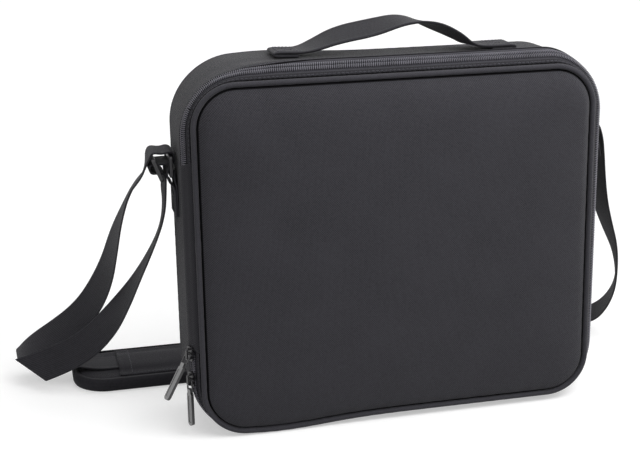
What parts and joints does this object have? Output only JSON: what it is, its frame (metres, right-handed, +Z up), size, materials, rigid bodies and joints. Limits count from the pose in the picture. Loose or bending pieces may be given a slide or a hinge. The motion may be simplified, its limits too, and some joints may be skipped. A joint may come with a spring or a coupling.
{
  "type": "soft carrying case",
  "caption": "Soft padded carrying case, book-style zipped front lid hinged on the left, web carry handle on top, and a shoulder strap with glide and sliding pad that lies behind it.",
  "frame": {"origin": "on the floor under the middle of the case, halfway between the front and back seams", "axes": "+X to the right of a person facing the front, the front looks along -Y, +Z up"},
  "size_m": [0.5097, 0.1771, 0.2973],
  "materials": {
    "panel_cloth": "fine plain weave nylon, matt",
    "gusset_cloth": "coarse plain weave nylon, matt",
    "piping": "woven tape over cord",
    "zipper_tape": "woven zipper tape",
    "zipper_coil": "nylon coil",
    "foam": "soft open-cell foam",
    "lining": "thin smooth nylon",
    "binding": "ribbed binding tape",
    "webbing": "woven webbing, matt",
    "hardware_plastic": "moulded, satin",
    "slider_metal": "black enamel on die-cast zinc",
    "pull_plastic": "moulded grey plastic with a darker rim",
    "pad_cloth": "padded nylon cloth"
  },
  "bodies": {
    "case": {"back_panel": "panel_cloth", "back_piping": "piping", "rear_gusset": "gusset_cloth", "case_zipper_tape": "zipper_tape", "case_zipper_coil": "zipper_coil", "spine_panel": "gusset_cloth", "upper_chain_tape": "zipper_tape", "upper_chain_coil": "zipper_coil", "lower_chain_tape": "zipper_tape", "lower_chain_coil": "zipper_coil", "back_foam": "foam", "gusset_foam": "foam", "case_lining": "lining", "case_binding": "binding", "handle_web": "webbing", "left_anchor_tab": "webbing", "right_anchor_tab": "webbing", "tri_glide": "hardware_plastic", "strap_right": "webbing", "strap_run": "webbing", "strap_left": "webbing", "strap_loop": "webbing", "strap_tail": "webbing"},
    "lid": {"front_panel": "panel_cloth", "front_piping": "piping", "lid_gusset": "gusset_cloth", "lid_zipper_tape": "zipper_tape", "lid_zipper_coil": "zipper_coil", "lid_foam": "foam", "lid_lining": "lining", "lid_binding": "binding"},
    "left_ring": {"left_ring": "hardware_plastic"},
    "right_ring": {"right_ring": "hardware_plastic"},
    "upper_slider": {"upper_slider": "slider_metal"},
    "lower_slider": {"lower_slider": "slider_metal"},
    "upper_pull_link": {"upper_pull_link": "slider_metal"},
    "upper_pull_tab": {"upper_pull_tab": "pull_plastic"},
    "lower_pull_link": {"lower_pull_link": "slider_metal"},
    "lower_pull_tab": {"lower_pull_tab": "pull_plastic"},
    "shoulder_pad": {"shoulder_pad": "pad_cloth", "pad_binding": "binding", "pad_sleeve": "pad_cloth"}
  },
  "joints": [
    {"name": "lid_hinge", "type": "hinge", "parent": "case", "child": "lid", "pos_m": [-0.1492, -0.0328, 0.135], "axis": [0, 0, -1], "range_deg": [0, 120]},
    {"name": "upper_slider_slide", "type": "slide", "parent": "case", "child": "upper_slider", "axis": [0, 0, -1], "range_m": [-0.004, 0.0085]},
    {"name": "lower_slider_run", "type": "hinge", "parent": "case", "child": "lower_slider", "pos_m": [-0.109, -0.026, 0.046], "axis": [0, -1, 0], "range_deg": [0, 12]},
    {"name": "upper_link_swing", "type": "hinge", "parent": "upper_slider", "child": "upper_pull_link", "pos_m": [-0.15657, -0.02745, 0.066], "axis": [-0.4545, 0.8908, 0], "range_deg": [0, 90]},
    {"name": "upper_tab_swing", "type": "hinge", "parent": "upper_pull_link", "child": "upper_pull_tab", "pos_m": [-0.16092, -0.02967, 0.05904], "axis": [-0.4545, 0.8908, 0], "range_deg": [0, 45]},
    {"name": "lower_link_swing", "type": "hinge", "parent": "lower_slider", "child": "lower_pull_link", "pos_m": [-0.15657, -0.02745, 0.046], "axis": [-0.4545, 0.8908, 0], "range_deg": [0, 40]},
    {"name": "lower_tab_swing", "type": "hinge", "parent": "lower_pull_link", "child": "lower_pull_tab", "pos_m": [-0.15657, -0.02745, 0.0375], "axis": [-0.4545, 0.8908, 0], "range_deg": [0, 20]},
    {"name": "left_ring_swing", "type": "hinge", "parent": "case", "child": "left_ring", "pos_m": [-0.1595, 0.0125, 0.19325], "axis": [0, -1, 0], "range_deg": [0, 20], "deforming": ["strap_loop"]},
    {"name": "right_ring_swing", "type": "hinge", "parent": "case", "child": "right_ring", "pos_m": [0.1635, 0.0125, 0.19325], "axis": [0, 1, 0], "range_deg": [0, 20], "deforming": ["strap_right"]},
    {"name": "pad_slide", "type": "slide", "parent": "case", "child": "shoulder_pad", "axis": [1, 0, 0], "range_m": [0, 0.05]}
  ]
}
